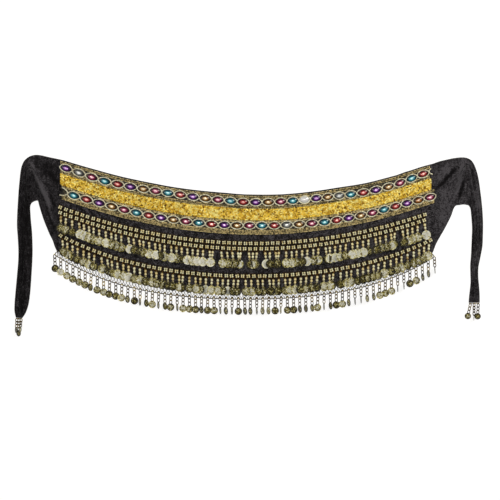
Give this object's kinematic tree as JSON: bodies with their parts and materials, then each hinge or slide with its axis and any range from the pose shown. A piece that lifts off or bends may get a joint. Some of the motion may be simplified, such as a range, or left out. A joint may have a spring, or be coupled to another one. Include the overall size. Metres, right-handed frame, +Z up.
{
  "type": "belly dance belt",
  "caption": "Crescent velvet hip belt laid flat, with jewelled braids, a sequin band, hanging coin rows, a coin fringe and gathered ties.",
  "frame": {"origin": "middle of the footprint, on the surface that the belt lies on", "axes": "+X along the belt to the right, +Y from the coin fringe to the waist edge, +Z up out of the velvet's face"},
  "size_m": [1.029, 0.3991, 0.0174],
  "materials": {
    "velvet": "near-black pile velvet",
    "braid": "woven antique-gold metallic braid with glass stones",
    "sequins": "bright gold sequins on woven ribbon",
    "beads": "metallised gold beads",
    "coins": "thin plated coins, bright and antiqued"
  },
  "bodies": {
    "root": {"hip_panel": "velvet", "tie_left": "velvet", "tie_right": "velvet", "upper_gem_braid": "braid", "sequin_band": "sequins", "lower_gem_braid": "braid", "bead_row": "beads", "coin_row_upper": "coins", "coin_row_lower": "coins", "net_fringe": "coins", "tassel_left": "coins", "tassel_right": "coins"}
  },
  "joints": []
}
